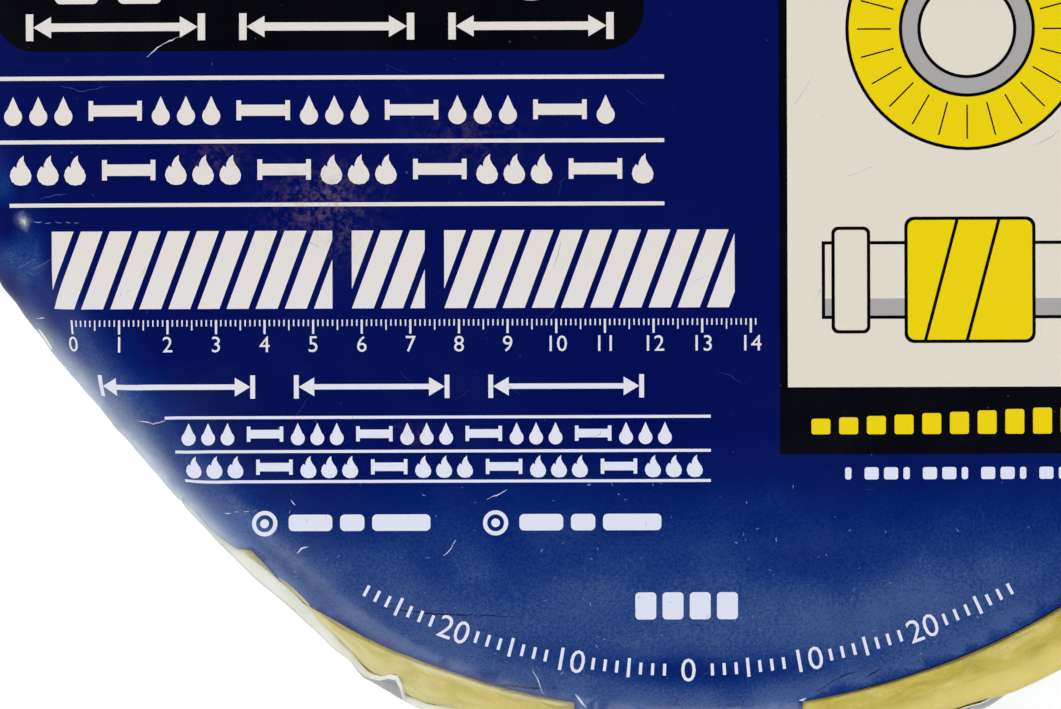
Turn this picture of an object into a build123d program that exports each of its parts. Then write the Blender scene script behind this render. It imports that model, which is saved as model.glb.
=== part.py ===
from build123d import *
import math
import os

# A roll of foil-backed glass fibre pipe wrap, lying on its end, with a printed label over the upper end.
# Frame: +Z up along the winding axis, origin on the axis at the level that the roll rests on.
# The lower edge of the label, as it is read, is towards -Y.

# Driving dimensions, in millimetres.
strip_width = 76.0          # width of the wound strip, which is the roll's height as it lies
roll_d = 318.0              # outer diameter over the facing
eye_d = 24.0                # eye that the winding mandrel leaves
eye_rounding = 3.0          # soft edge at each mouth of the eye
turn_thickness = 10.3       # one wound turn, squeezed from 25.4 mm
groove_width = 3.4          # gap between two turns where they show on an end
groove_depth = 1.5
shoulder_r = 11.0           # rounding of the outer turn's two edges

pressed_angle = 221.0       # direction in plan of the side that storage pressed flat, in degrees
pressed_depth = 7.5         # how far that side lies inside the round
pressed_r = 327.0           # radius of that flatter side
pressed_blend_r = 90.0      # rounding in plan where it meets the rest
pressed_reach = 40.0        # the turns further in than this from the rim are not pressed

facing_thickness = 0.25     # foil laminate glued to the strip's outer face
facing_edge_drop = 4.6      # how far the facing's edges lie from the roll's ends, along the axis

label_thickness = 0.3
label_d = 298.0             # round front of the label
label_shift = 4.0           # the label lies this far off the axis, towards -X
label_hang = 5.5            # the most that the front's edge may hang below the roll's end
strap_width = 47.0          # the label's two straps, which go over the rim and under the back
strap_on_back = 48.0        # how far in from the rim each strap ends
strap_corner_r = 8.0

# Places that follow from them.
roll_r = roll_d / 2
eye_r = eye_d / 2
turn_count = round((roll_r - eye_r) / turn_thickness)
lower_end_z = label_thickness   # the shoulders start here, level with the straps' upper faces
upper_end_z = strip_width
middle_z = (lower_end_z + upper_end_z) / 2
label_top_z = upper_end_z + label_thickness
margin = 5.0                    # how far a cutting shape runs past what it cuts
near = 0.01                     # sizes closer than this are the same


def pressed_plan(inside, depth):
    """Plan that lies inside the roll's round by a distance, and is pressed in by a depth on one side."""
    if depth <= 0:
        return Circle(roll_r - inside)
    # The round, the flatter side and two blends are tangent arcs, drawn with the pressed side at +X.
    flatter_x = roll_r - depth - pressed_r
    blend_from_axis = roll_r - pressed_blend_r
    blend_from_flatter = pressed_r - pressed_blend_r
    around = math.acos(
        (blend_from_flatter**2 - blend_from_axis**2 - flatter_x**2) / (-2 * blend_from_axis * flatter_x)
    )
    blend_x = blend_from_axis * math.cos(around)
    blend_y = blend_from_axis * math.sin(around)
    round_start = math.degrees(around)
    flat_end = math.degrees(math.atan2(blend_y, blend_x - flatter_x))
    turn = round_start - flat_end
    blend_r = pressed_blend_r - inside
    arcs = [
        CenterArc((0, 0), roll_r - inside, round_start, 360 - 2 * round_start),
        CenterArc((blend_x, -blend_y), blend_r, -round_start, turn),
        CenterArc((flatter_x, 0), pressed_r - inside, -flat_end, 2 * flat_end),
        CenterArc((blend_x, blend_y), blend_r, flat_end, turn),
    ]
    return Rot(0, 0, pressed_angle) * make_face(arcs)


def skin(grow):
    """All that lies inside the surface that is grow outside the wound strip's, round shoulders and all."""
    height = upper_end_z - lower_end_z + 2 * grow
    body = Pos(0, 0, lower_end_z - grow) * extrude(pressed_plan(-grow, pressed_depth), height)
    ends = body.edges().group_by(Axis.Z)
    return fillet(ends[0] + ends[-1], shoulder_r + grow)


def strip_facing():
    """The foil on the strip's outer face: a sleeve that ends a little way round both shoulders."""
    height = upper_end_z - lower_end_z - 2 * facing_edge_drop
    between_edges = Pos(0, 0, middle_z) * Cylinder(roll_r + margin, height)
    return (skin(0) - skin(-facing_thickness)) & between_edges


def label_front():
    """Cutting shape of the label's round front, from just below the shoulder's top upwards."""
    low = upper_end_z - label_hang
    high = label_top_z + margin
    return Pos(0, 0, (low + high) / 2) * Cylinder(label_d / 2, high - low)


def label_straps():
    """Cutting shapes of both straps: over the front, down the rim and under the back, with round corners."""
    reach = roll_r + label_thickness + margin
    high = label_top_z + margin
    over_the_rim = Pos(0, 0, (middle_z + high) / 2) * Box(strap_width, 2 * reach, high - middle_z)
    length = reach + strap_corner_r - (roll_r - strap_on_back)
    from_axis = roll_r - strap_on_back + length / 2
    tongue = RectangleRounded(strap_width, length, strap_corner_r)
    ends = [extrude(Pos(0, side * from_axis, -margin) * tongue, middle_z + margin) for side in (-1, 1)]
    return over_the_rim + ends


def paper_label():
    """The label: a thin shell over the upper end, down the rim and under the edge of the back."""
    shell = skin(label_thickness) - skin(0)
    return shell & (Pos(-label_shift, 0, 0) * (label_front() + label_straps()))


def wound_strip(facing, label):
    """The glass fibre: its eye, and a groove between each two turns on both ends."""
    # Between the straps the back bulges down by a strap's thickness, so that all of it is level.
    back = extrude(pressed_plan(shoulder_r, pressed_depth), lower_end_z)
    strip = skin(0) + back - Pos(0, 0, middle_z) * Cylinder(eye_r, strip_width + 2 * margin)
    circles = strip.edges().filter_by(GeomType.CIRCLE)
    mouths = circles.filter_by(lambda edge: abs(edge.radius - eye_r) < near)
    strip = fillet(mouths, eye_rounding)
    groove_r = (groove_width**2 / 4 + groove_depth**2) / (2 * groove_depth)
    centre_outside = groove_r - groove_depth
    for turn in range(1, turn_count):
        inside = roll_r - (eye_r + turn * turn_thickness)
        path = pressed_plan(inside, pressed_depth * (1 - inside / pressed_reach)).wire()
        groove = sweep(Plane(path @ 0, z_dir=path % 0) * Circle(groove_r), path=path)
        for z in (-centre_outside, upper_end_z + centre_outside):
            strip -= Pos(0, 0, z) * groove
    return strip - facing - label


def main():
    facing = strip_facing()
    label = paper_label()
    parts = {
        "fibreglass_roll": wound_strip(facing, label),
        "foil_facing": facing,
        "paper_label": label,
    }
    os.makedirs("parts", exist_ok=True)
    for name, shape in parts.items():
        export_step(shape, f"parts/{name}.step")


main()
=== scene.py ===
import math

import bpy
import numpy as np
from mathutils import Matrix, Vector
from mathutils.geometry import delaunay_2d_cdt


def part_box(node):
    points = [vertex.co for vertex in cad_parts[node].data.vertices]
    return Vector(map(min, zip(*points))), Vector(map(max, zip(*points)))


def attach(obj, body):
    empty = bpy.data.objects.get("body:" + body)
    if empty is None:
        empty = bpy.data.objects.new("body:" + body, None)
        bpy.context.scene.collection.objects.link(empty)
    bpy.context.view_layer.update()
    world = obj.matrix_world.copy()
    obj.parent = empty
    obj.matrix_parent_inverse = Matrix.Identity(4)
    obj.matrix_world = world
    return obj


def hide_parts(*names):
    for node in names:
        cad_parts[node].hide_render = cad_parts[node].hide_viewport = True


# Looks of a roll of glass fibre pipe wrap that lies on its end: wound strip, facing, loose fibres and label.
# Lengths are millimetres in the CAD frame, and make_mesh turns them into metres. Angles in plan are degrees.

MM = 0.001
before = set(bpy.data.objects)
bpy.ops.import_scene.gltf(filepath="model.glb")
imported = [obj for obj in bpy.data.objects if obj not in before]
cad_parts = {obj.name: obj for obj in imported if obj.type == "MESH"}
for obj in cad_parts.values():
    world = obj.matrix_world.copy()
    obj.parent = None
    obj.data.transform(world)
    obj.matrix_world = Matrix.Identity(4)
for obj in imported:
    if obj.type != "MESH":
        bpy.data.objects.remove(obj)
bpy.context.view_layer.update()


# Sizes that come from the frame.

def node_box(name):
    """Lowest and highest corner of a CAD node, in millimetres."""
    low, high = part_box(name)
    return np.array(low) / MM, np.array(high) / MM


facing_low, facing_high = node_box("foil_facing")
label_low, label_high = node_box("paper_label")
ROLL_R = (facing_high[0] - facing_low[0]) / 2
STRIP_TOP = node_box("fibreglass_roll")[1][2]
LABEL_TOP = label_high[2]
LABEL_THICKNESS = LABEL_TOP - STRIP_TOP
LABEL_X = (label_low[0] + label_high[0]) / 2      # the label lies off the roll's axis by this much
LABEL_R = (label_high[0] - label_low[0]) / 2

# Sizes of the CAD model that its boxes don't show.
EYE_R = 12.0
SHOULDER_R = 11.0
PRESSED_ANGLE = 221.0
PRESSED_DEPTH = 7.5
PRESSED_R = 327.0
PRESSED_BLEND_R = 90.0
PRESSED_REACH = 40.0
STRAP_WIDTH = 47.0
STRAP_ON_BACK = 48.0
STRAP_CORNER_R = 8.0
HALF_STRAP = STRAP_WIDTH / 2
CARD_R = SHOULDER_R + LABEL_THICKNESS       # radius of the card's outer face over a shoulder

# Softness that the CAD solids leave out. Tables give a value by angle in plan.
SINK_DEPTH = 3.0              # the labelled end sinks this much at the rim
SINK_REACH = 80.0
CARD_SPREAD = (               # how far the card's round edge lies outside its circle
    (180, 0), (192, 3.5), (203, 8.3), (210, 5.6), (217, 4.6), (224, 5.0), (226.5, 3.6), (229.1, 2.2),
    (231.2, 0.8), (232.1, -1.8), (234.1, -0.8), (236.3, 1.1), (237.3, 1.7), (238.3, 1.6), (240.3, 0.9),
    (246, 0.9), (250, 0.5), (285, 0.5), (298, 0.6), (330, 0),
)
POUCH = (                     # how far the card stands out over the rim where it is loose
    (186, 0), (193, 0.3), (198, 1.0), (201, 1.9), (203, 2.3), (204.2, 1.8), (206, 1.75), (208, 1.35),
    (209.5, 1.1), (210.5, 0.6), (212, 0.35), (216, 0.0), (220, -0.35), (224, 0),
)

TURNS = 14
TAIL_ANGLE = 90.0
START_THICKNESS = 3.0        # the strip's inner end is pinched
OUTER_TURN_START = 17.5      # thickness of the outer turn just after the strip's outer end
TURN = (ROLL_R - OUTER_TURN_START - EYE_R - START_THICKNESS) / (TURNS - 2)


# Noise and small helpers.

def smooth_noise(points, wavelength, seed):
    """Smooth noise from -1 to 1 at each point, on a lattice of random numbers that repeats after 64 steps."""
    table = np.random.default_rng(seed).uniform(-1, 1, (64, 64, 64))
    scaled = np.asarray(points, float) / wavelength
    base = np.floor(scaled).astype(int)
    part = scaled - base
    part = part * part * (3 - 2 * part)
    total = 0.0
    for corner in np.ndindex(2, 2, 2):
        weight = np.where(corner, part, 1 - part).prod(-1)
        index = (base + corner) % 64
        total = total + weight * table[index[..., 0], index[..., 1], index[..., 2]]
    return total


def smoothstep(low, high, value):
    t = np.clip((value - low) / (high - low), 0, 1)
    return t * t * (3 - 2 * t)


def window(value, begin, full, fade, end):
    """1 between full and fade, and 0 before begin and past end."""
    return smoothstep(begin, full, value) * (1 - smoothstep(fade, end, value))


def bell(value, width):
    """1 at zero, and falling to nothing on both sides over about two widths."""
    return np.exp(-((value / width) ** 2))


def angle_from(angle, centre):
    """Angle in plan from a centre direction, from -180 to 180 degrees."""
    return (np.asarray(angle, float) - centre + 180) % 360 - 180


def near_angle(angle, centre, width):
    return bell(angle_from(angle, centre), width)


def by_angle(table, angle):
    """The value that a table gives at each angle, with straight lines between its places."""
    return np.interp(np.asarray(angle, float) % 360, *zip(*table))


def plan_point(radius, angle):
    turn = np.radians(angle)
    return radius * np.cos(turn), radius * np.sin(turn)


def polar(x, y):
    """Radius and angle in plan of a point."""
    return np.hypot(x, y), np.degrees(np.arctan2(y, x))


def points_of(*parts):
    """Points from their coordinates, each of which is an array or one number for all."""
    return np.stack(np.broadcast_arrays(*parts), -1)


def unit(vectors):
    return vectors / np.maximum(np.linalg.norm(vectors, axis=-1, keepdims=True), 1e-12)


def spots(flat, table):
    """Sum of soft spots, each given as centre, half width, half height and strength."""
    total = 0 * flat[:, 0]
    for x, y, wide, high, strength in table:
        total = total + strength * bell(flat[:, 0] - x, wide) * bell(flat[:, 1] - y, high)
    return total


def quads(index):
    """Quads between the neighbours of a grid of point numbers."""
    near, far = index[:-1], index[1:]
    return np.stack([near[:, :-1], near[:, 1:], far[:, 1:], far[:, :-1]], -1).reshape(-1, 4)


def add_object(name, data):
    made = bpy.data.objects.new(name, data)
    bpy.context.scene.collection.objects.link(made)
    return made


def make_mesh(name, points, faces, materials, face_materials=None, uv=None, normals=None, values=None):
    """A smooth mesh object from points in millimetres, riding on the roll. Values are one number a point."""
    mesh = bpy.data.meshes.new(name)
    mesh.from_pydata((np.asarray(points) * MM).tolist(), [], faces)
    for material in materials:
        mesh.materials.append(material)
    if face_materials is not None:
        mesh.polygons.foreach_set("material_index", np.asarray(face_materials, np.int32))
    mesh.polygons.foreach_set("use_smooth", np.ones(len(mesh.polygons), bool))
    if uv is not None:
        corners = np.zeros(len(mesh.loops), np.int32)
        mesh.loops.foreach_get("vertex_index", corners)
        layer = mesh.uv_layers.new(name="strip")
        layer.data.foreach_set("uv", uv.astype(np.float32)[corners].ravel())
    for value_name, numbers in (values or {}).items():
        layer = mesh.attributes.new(value_name, "FLOAT", "POINT")
        layer.data.foreach_set("value", numbers.astype(np.float32))
    if normals is not None:
        mesh.normals_split_custom_set_from_vertices(normals.tolist())
    mesh.update()
    made = add_object(name, mesh)
    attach(made, "root")
    return made


# Plan of the roll: round, and pressed flat on one side.

def pressed_radius(angle):
    """Radius of the roll's outline in plan: tangent arcs for the round, the blends and the flatter side."""
    flatter_x = ROLL_R - PRESSED_DEPTH - PRESSED_R
    from_axis = ROLL_R - PRESSED_BLEND_R
    from_flatter = PRESSED_R - PRESSED_BLEND_R
    around = math.acos((from_flatter**2 - from_axis**2 - flatter_x**2) / (-2 * from_axis * flatter_x))
    blend_x, blend_y = from_axis * math.cos(around), from_axis * math.sin(around)
    flat_end = math.atan2(blend_y, blend_x - flatter_x)
    flat_limit = math.atan2(PRESSED_R * math.sin(flat_end), flatter_x + PRESSED_R * math.cos(flat_end))
    turn = np.radians(np.abs(angle_from(angle, PRESSED_ANGLE)))

    def arc(x, y, radius):
        middle = x * np.cos(turn) + y * np.sin(turn)
        return middle + np.sqrt(np.maximum(middle**2 - x**2 - y**2 + radius**2, 0))

    blended = arc(blend_x, blend_y, PRESSED_BLEND_R)
    return np.where(turn < flat_limit, arc(flatter_x, 0, PRESSED_R), np.where(turn < around, blended, ROLL_R))


def press(radius, angle):
    """Where a point at this radius goes when the side is pressed: the outer turns give way most."""
    give = ROLL_R - pressed_radius(angle)
    return radius - give * np.clip(1 - (ROLL_R - radius) / PRESSED_REACH, 0, 1)


def sunk(radius, angle, z):
    """The labelled end sinks a little towards the rim; the wall and the back stay where they are."""
    inside = np.maximum(pressed_radius(angle) - radius, 0)
    share = np.clip((z - STRIP_TOP + SHOULDER_R) / SHOULDER_R, 0, 1)
    return z - SINK_DEPTH * np.clip(1 - inside / SINK_REACH, 0, 1) ** 2 * share


def card_radius(angle):
    """Radius of the label's round front about its own centre: it spreads a little on the pressed side."""
    turn = np.asarray(angle, float) % 360
    line = points_of(turn, 0, 0)
    ragged = 0.35 * smooth_noise(line, 0.7, 91) + 0.3 * smooth_noise(line, 1.9, 92)
    return LABEL_R + by_angle(CARD_SPREAD, turn) + ragged * window(turn, 203, 205, 213, 216)


def inside_card(x, y):
    """How far a point, measured from the label's centre, lies inside the edge of the round front."""
    radius, angle = polar(x, y)
    return card_radius(angle) - radius


# Materials. A colour is red, green and blue as they are seen, 0 to 255, and a grey is one linear number.

def shader_colour(value):
    """A colour or a grey as the four linear numbers that a shader takes."""
    if not isinstance(value, tuple):
        return (value, value, value, 1.0)
    seen = np.array(value) / 255
    return (*np.where(seen > 0.04045, ((seen + 0.055) / 1.055) ** 2.4, seen / 12.92), 1.0)


class Finish:
    """The nodes of a material or a world, and the shader that they feed."""

    def __init__(self, owner, shader="Principled BSDF"):
        owner.use_nodes = True
        self.owner = owner
        self.tree = owner.node_tree
        self.shader = self.tree.nodes[shader]

    def put(self, socket, value):
        """Feeds a socket from another node's output, or sets it to a number, a vector or a colour."""
        if isinstance(value, bpy.types.NodeSocket):
            self.tree.links.new(value, socket)
        else:
            socket.default_value = shader_colour(value) if socket.type == "RGBA" else value

    def feed(self, **values):
        """Puts values on the shader's own sockets, whose names have a _ here for each space."""
        for name, value in values.items():
            self.put(self.shader.inputs[name.replace("_", " ")], value)

    def node(self, kind, inputs, **settings):
        made = self.tree.nodes.new("ShaderNode" + kind)
        for name, value in settings.items():
            setattr(made, name, value)
        for name, value in inputs.items():
            self.put(made.inputs[name], value)
        return made

    def place(self, kind="Object"):
        return self.node("TexCoord", {}).outputs[kind]

    def attribute(self, name):
        return self.node("Attribute", {}, attribute_name=name).outputs["Fac"]

    def scaled(self, place, scale):
        return self.node("Mapping", {"Vector": place, "Scale": scale}).outputs["Vector"]

    def noise(self, place, scale, detail, roughness=0.5, distortion=0.0):
        inputs = {"Vector": place, "Scale": scale, "Detail": detail, "Roughness": roughness}
        return self.node("TexNoise", {**inputs, "Distortion": distortion}).outputs["Fac"]

    def ramp(self, factor, *stops):
        """A colour ramp with (position, colour) stops."""
        made = self.node("ValToRGB", {"Fac": factor})
        elements = made.color_ramp.elements
        while len(elements) < len(stops):
            elements.new(0.5)
        for element, (position, colour) in zip(elements, stops):
            element.position = position
            element.color = shader_colour(colour)
        return made.outputs["Color"]

    def math(self, operation, first, second, clamp=False):
        return self.node("Math", {0: first, 1: second}, operation=operation, use_clamp=clamp).outputs[0]

    def times(self, first, second, clamp=False):
        return self.math("MULTIPLY", first, second, clamp)

    def plus(self, first, second):
        return self.math("ADD", first, second)

    def mix(self, factor, first, second, blend="MIX"):
        inputs = {0: factor, 6: first, 7: second}
        return self.node("Mix", inputs, data_type="RGBA", blend_type=blend).outputs[2]

    def bump(self, height, distance, strength):
        made = self.node("Bump", {"Height": height, "Distance": distance, "Strength": strength})
        self.feed(Normal=made.outputs["Normal"])


def new_finish(name, **values):
    """A new material with its shader's own sockets set."""
    finish = Finish(bpy.data.materials.new(name))
    finish.feed(**values)
    return finish


def fibre_material():
    """Yellow glass wool: streaks along the strip, brown specks, olive hollows and paler crests that follow
    the bump as painted shade and light, and painted light and shade by the lip.
    """
    wool = new_finish("glass_wool", Roughness=0.9, Specular_IOR_Level=0.25)
    wool.feed(Sheen_Weight=0.1, Sheen_Roughness=0.5)
    strip = wool.node("UVMap", {}, uv_map="strip").outputs["UV"]
    streaky = wool.scaled(strip, (1.0, 1.3, 1.0))
    fine = wool.noise(streaky, 62.0, 5.0, 0.65, 0.8)
    broad = wool.noise(streaky, 13.0, 3.0, 0.55, 0.8)
    fuzz = wool.noise(strip, 220.0, 3.0, 0.65, 1.0)
    patches = wool.noise(strip, 16.0, 4.0, 0.55)
    # Tone of the wool. The broad noise also raises the bump, so the olive low end is partly painted shade in
    # the hollows and the pale high end partly painted light on the crests.
    colour = wool.ramp(
        broad,
        (0.30, (186, 166, 68)), (0.45, (200, 182, 83)), (0.58, (212, 194, 100)), (0.75, (224, 207, 124)),
    )
    colour = wool.mix(0.9, colour, wool.ramp(fine, (0.30, 0.90), (0.70, 1.04)), "MULTIPLY")
    colour = wool.mix(0.9, colour, wool.ramp(fuzz, (0.3, 0.85), (0.7, 1.08)), "MULTIPLY")
    colour = wool.mix(wool.ramp(patches, (0.36, 0.5), (0.54, 0.0)), colour, (190, 172, 68))
    # Paler wool: partly its own tone, and partly painted light on the outer wool and beside the card's edge.
    pale = wool.times(wool.attribute("pale"), wool.ramp(broad, (0.3, 0.6), (0.65, 1.2)), True)
    colour = wool.mix(pale, colour, (220, 214, 168))
    # Painted light on the outer wool, and painted shade where the label shades the wool beside the lip.
    colour = wool.mix(wool.attribute("outer_painted_light"), colour, (230, 211, 124))
    colour = wool.mix(wool.attribute("lip_painted_shade"), colour, (164, 163, 136))
    specks = wool.ramp(wool.noise(streaky, 60.0, 2.0), (0.76, 0.0), (0.84, 0.4))
    wool.feed(Base_Color=wool.mix(specks, colour, (140, 106, 48)))
    relief = wool.plus(wool.plus(fine, wool.times(broad, 3.0)), wool.times(fuzz, 0.5))
    wool.bump(relief, 0.00018, 0.6)
    return wool.owner


def strand_material():
    """Single glass fibres, a little paler than the wool."""
    strand = new_finish("glass_strands", Roughness=0.45)
    tone = strand.noise(strand.place(), 60.0, 2.0)
    strand.feed(Base_Color=strand.ramp(tone, (0.35, (196, 180, 88)), (0.65, (232, 222, 150))))
    return strand.owner


def foil_material():
    """Aluminium foil facing, dull bright, with fine creases."""
    foil = new_finish("foil", Metallic=1.0)
    place = foil.place()
    cloudy = foil.noise(place, 90.0, 5.0, 0.6)
    foil.feed(Base_Color=foil.ramp(cloudy, (0.3, (140, 141, 142)), (0.7, (164, 164, 164))))
    foil.feed(Roughness=foil.ramp(foil.noise(place, 55.0, 3.0), (0.3, 0.22), (0.7, 0.36)))
    relief = foil.noise(place, 45.0, 6.0, 0.55, 0.6)
    for scale, depth in ((52.0, 0.50), (140.0, 0.20)):
        cells = foil.node("TexVoronoi", {"Vector": place, "Scale": scale}, feature="DISTANCE_TO_EDGE")
        crease = foil.math("MINIMUM", cells.outputs["Distance"], 0.22)
        relief = foil.plus(relief, foil.times(crease, depth * 4))
    foil.bump(relief, 0.0022, 0.9)
    return foil.owner


def backing_material():
    """The facing's inner side: pale kraft paper with a thin skin of wool stuck to it."""
    paper = new_finish("facing_backing", Roughness=0.7)
    place = paper.place()
    stain = paper.noise(place, 120.0, 4.0, 0.6)
    paper.feed(Base_Color=paper.ramp(stain, (0.35, (228, 230, 216)), (0.65, (244, 245, 238))))
    paper.bump(paper.noise(place, 500.0, 3.0), 0.00015, 0.5)
    return paper.owner


INKS = {
    "blue": (0, 4, 77),
    "white": (233, 226, 218),
    "black": (1, 0, 1),
    "yellow": (240, 213, 8),
    "cream": (229, 222, 208),
    "grey": (172, 170, 168),
    "bare_card": (206, 206, 216),
    # Next: a painted highlight, a small glint where the card's edge bends.
    "torn_card": (236, 234, 190),
    "scratch": (44, 70, 132),
    "scuff": (116, 136, 186),
    # The next two are painted shade: dark lines in folds, and along the edge where the card turns down.
    "fold": (2, 6, 44),
    "edge": (12, 16, 40),
    "cut": (150, 140, 106),
}
# Tones of the painted sheen, a reflection of a broad light painted on the print, by its strength.
SHEEN_TONES = ((0.0, (0, 92, 236)), (0.09, (10, 112, 236)), (0.16, (80, 146, 236)), (0.21, (122, 166, 236)))
SHEEN_ON_OTHERS = 0.15         # share of the painted sheen that shows on inks other than the blue ones
SHEEN_AND_RUB = (213, 221, 229)      # painted sheen where the card bends over the pressed rim, and pale spots of rubbing
SMUDGE = (134, 108, 122)      # brownish grains that lie on the print
SPECK = (120, 140, 190)


def cooled_white(ink, place):
    """The white ink looks warm on the upper part of the label, and cool on the lower part."""
    height = ink.node("SeparateXYZ", {"Vector": place}).outputs["Y"]
    share = ink.node("MapRange", {"Value": height, "From Min": -0.056, "From Max": -0.094}).outputs["Result"]
    return ink.mix(share, (230, 223, 218), (226, 228, 243))


def ink_material(name):
    """One ink of the label's print. All take wear and painted sheen the same way, but only the blue ones show
    the sheen in full.
    """
    ink = new_finish("ink_" + name, Specular_IOR_Level=0.3)
    place = ink.place()
    colour = cooled_white(ink, place) if name == "white" else INKS[name]
    clouds = ink.noise(place, 26.0, 6.0, 0.68, 0.4)
    patchy = ink.ramp(clouds, (0.30, 0.84), (0.70, 1.14))
    grainy = ink.ramp(ink.noise(place, 2000.0, 2.0, 0.7), (0.30, 0.76), (0.70, 1.24))
    # Painted reflection of a broad light: a pale blue sheen in clouds and grains, as strong as the attribute
    # says.
    sheen_amount = ink.times(ink.times(ink.attribute("painted_sheen"), patchy), grainy, True)
    tone = ink.ramp(sheen_amount, *SHEEN_TONES)
    if name not in ("blue", "scratch"):
        sheen_amount = ink.times(sheen_amount, SHEEN_ON_OTHERS)
    colour = ink.mix(sheen_amount, colour, tone)
    streaks = ink.ramp(ink.noise(place, 150.0, 8.0, 0.75), (0.32, 0.7), (0.68, 1.25))
    # Painted sheen where the card bends over the pressed rim, with pale spots of rubbing, whitens the print.
    colour = ink.mix(ink.times(ink.attribute("sheen_and_rubbing"), streaks, True), colour, SHEEN_AND_RUB)
    grains = ink.ramp(ink.noise(place, 620.0, 5.0, 0.7), (0.46, 0.0), (0.66, 1.0))
    colour = ink.mix(ink.times(ink.attribute("smudged"), grains, True), colour, SMUDGE)
    specks = ink.ramp(ink.noise(place, 900.0, 1.0), (0.76, 0.0), (0.82, 0.3))
    where_worn = ink.ramp(ink.noise(place, 34.0, 3.0), (0.46, 0.1), (0.64, 1.0))
    ink.feed(Base_Color=ink.mix(ink.times(specks, where_worn, True), colour, SPECK))
    ink.feed(Roughness=ink.ramp(clouds, (0.30, 0.19), (0.70, 0.29)))
    ink.bump(ink.plus(ink.noise(place, 380.0, 3.0), ink.times(clouds, 3.0)), 0.0001, 0.5)
    return ink.owner


def card_back_material():
    """The unprinted back of the label: greyish recycled card with short fibres."""
    card = new_finish("card_back", Roughness=0.9)
    pulp = card.noise(card.scaled(card.place(), (1.0, 0.35, 1.0)), 700.0, 3.0, 0.6)
    card.feed(Base_Color=card.ramp(pulp, (0.3, (178, 170, 156)), (0.7, (214, 208, 196))))
    card.bump(pulp, 0.0001, 0.4)
    return card.owner


# Wound strip.

AROUND = 400                  # steps round one turn
ACROSS_HIDDEN = 2             # steps across an inner turn under the label
ACROSS_BACK = 10              # steps across an inner turn on the back
ACROSS_OUTER = 44             # steps across the outer turn's upper end, over the shoulder
ACROSS_OUTER_BACK = 30
OUTER_WIDTH = 30.0            # length of wool across the outer turn's end, over the shoulder
GROOVE_DEPTH = 1.7
GROOVE_EDGE = 2.2             # width over which a turn's edge rounds into the groove
CROWN = 0.35                  # the middle of a turn's end stands this much higher than its edges
SWELL = 0.55                  # the wool stands out this far where nothing holds it
HELD = 0.45                   # and lies this far in under the label
SKIN_R = ROLL_R - 0.3         # the wool's wall, just inside the facing
UV_UNIT = 100.0               # millimetres of wool to one unit of the strip's texture
UV_SHIFT = 7.0                # the texture moves sideways by this from one turn to the next


def inner_side(turns):
    """Radius of the strip's inner side after so many turns from its start, before the side is pressed."""
    turns = np.asarray(turns, float)
    first = EYE_R + START_THICKNESS * smoothstep(0.82, 1.0, turns)
    return np.where(turns < 1, first, EYE_R + START_THICKNESS + TURN * (turns - 1))


def spiral_angle(turns):
    return TAIL_ANGLE - 360 * turns


def end_relief(radius, angle, seed):
    """Unevenness of a wound end: layers that run along the strip, and soft hollows."""
    layers = points_of(radius * np.radians(angle % 360) / 7, radius, seed)
    broad = points_of(*plan_point(radius, angle), seed)
    relief = 0.07 * smooth_noise(layers, 2.0, seed) + 0.12 * smooth_noise(broad, 4.0, seed + 1)
    return relief + 0.40 * smooth_noise(broad, 12.0, seed + 2)


def under_label(x, y):
    """1 where the label covers a point of the upper end, and 0 outside it."""
    front = 1 - smoothstep(0.0, 0.9, -inside_card(x - LABEL_X, y))
    strap = 1 - smoothstep(0.3, 1.9, np.abs(x - LABEL_X) - HALF_STRAP)
    return np.maximum(front, strap)


def upper_height(x, y, drop, relief):
    """Height of the upper end: bulging a little beyond the label's edge, and held down under it."""
    covered = under_label(x, y)
    free = STRIP_TOP + SWELL + relief - drop
    held = STRIP_TOP - HELD - np.maximum(drop, 0) - 0.2 * np.abs(relief)
    return free * (1 - covered) + np.minimum(held, free) * covered


def end_points(radius, turns, drop, upper, fade=1.0):
    """Points of an end from their radius before the side is pressed, and how far they lie below its level."""
    angle = spiral_angle(turns)[:, None] + 0 * radius
    relief = end_relief(radius, angle, 11 if upper else 21) * fade
    radius = press(radius, angle)
    x, y = plan_point(radius, angle)
    if upper:
        z = sunk(radius, angle, upper_height(x, y, drop, relief))
    else:
        z = np.maximum(drop + SWELL + 0.9 * relief, 0.05)
    return points_of(x, y, z)


def into_groove(distance):
    """How far a turn's edge lies below its middle, this far from its groove."""
    return GROOVE_DEPTH * np.clip(1 - distance / GROOVE_EDGE, 0, 1) ** 2


def turn_profile(turns, across, upper):
    """Points across the end of an inner turn, from its inner groove to just before its outer one."""
    inner = inner_side(turns)[:, None]
    thick = inner_side(turns + 1)[:, None] - inner
    share = np.linspace(0, 1, across + 1)[:-1]
    drop = into_groove(np.minimum(share, 1 - share) * thick) + CROWN * (2 * share - 1) ** 2
    return end_points(inner + thick * share, turns, drop, upper)


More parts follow.
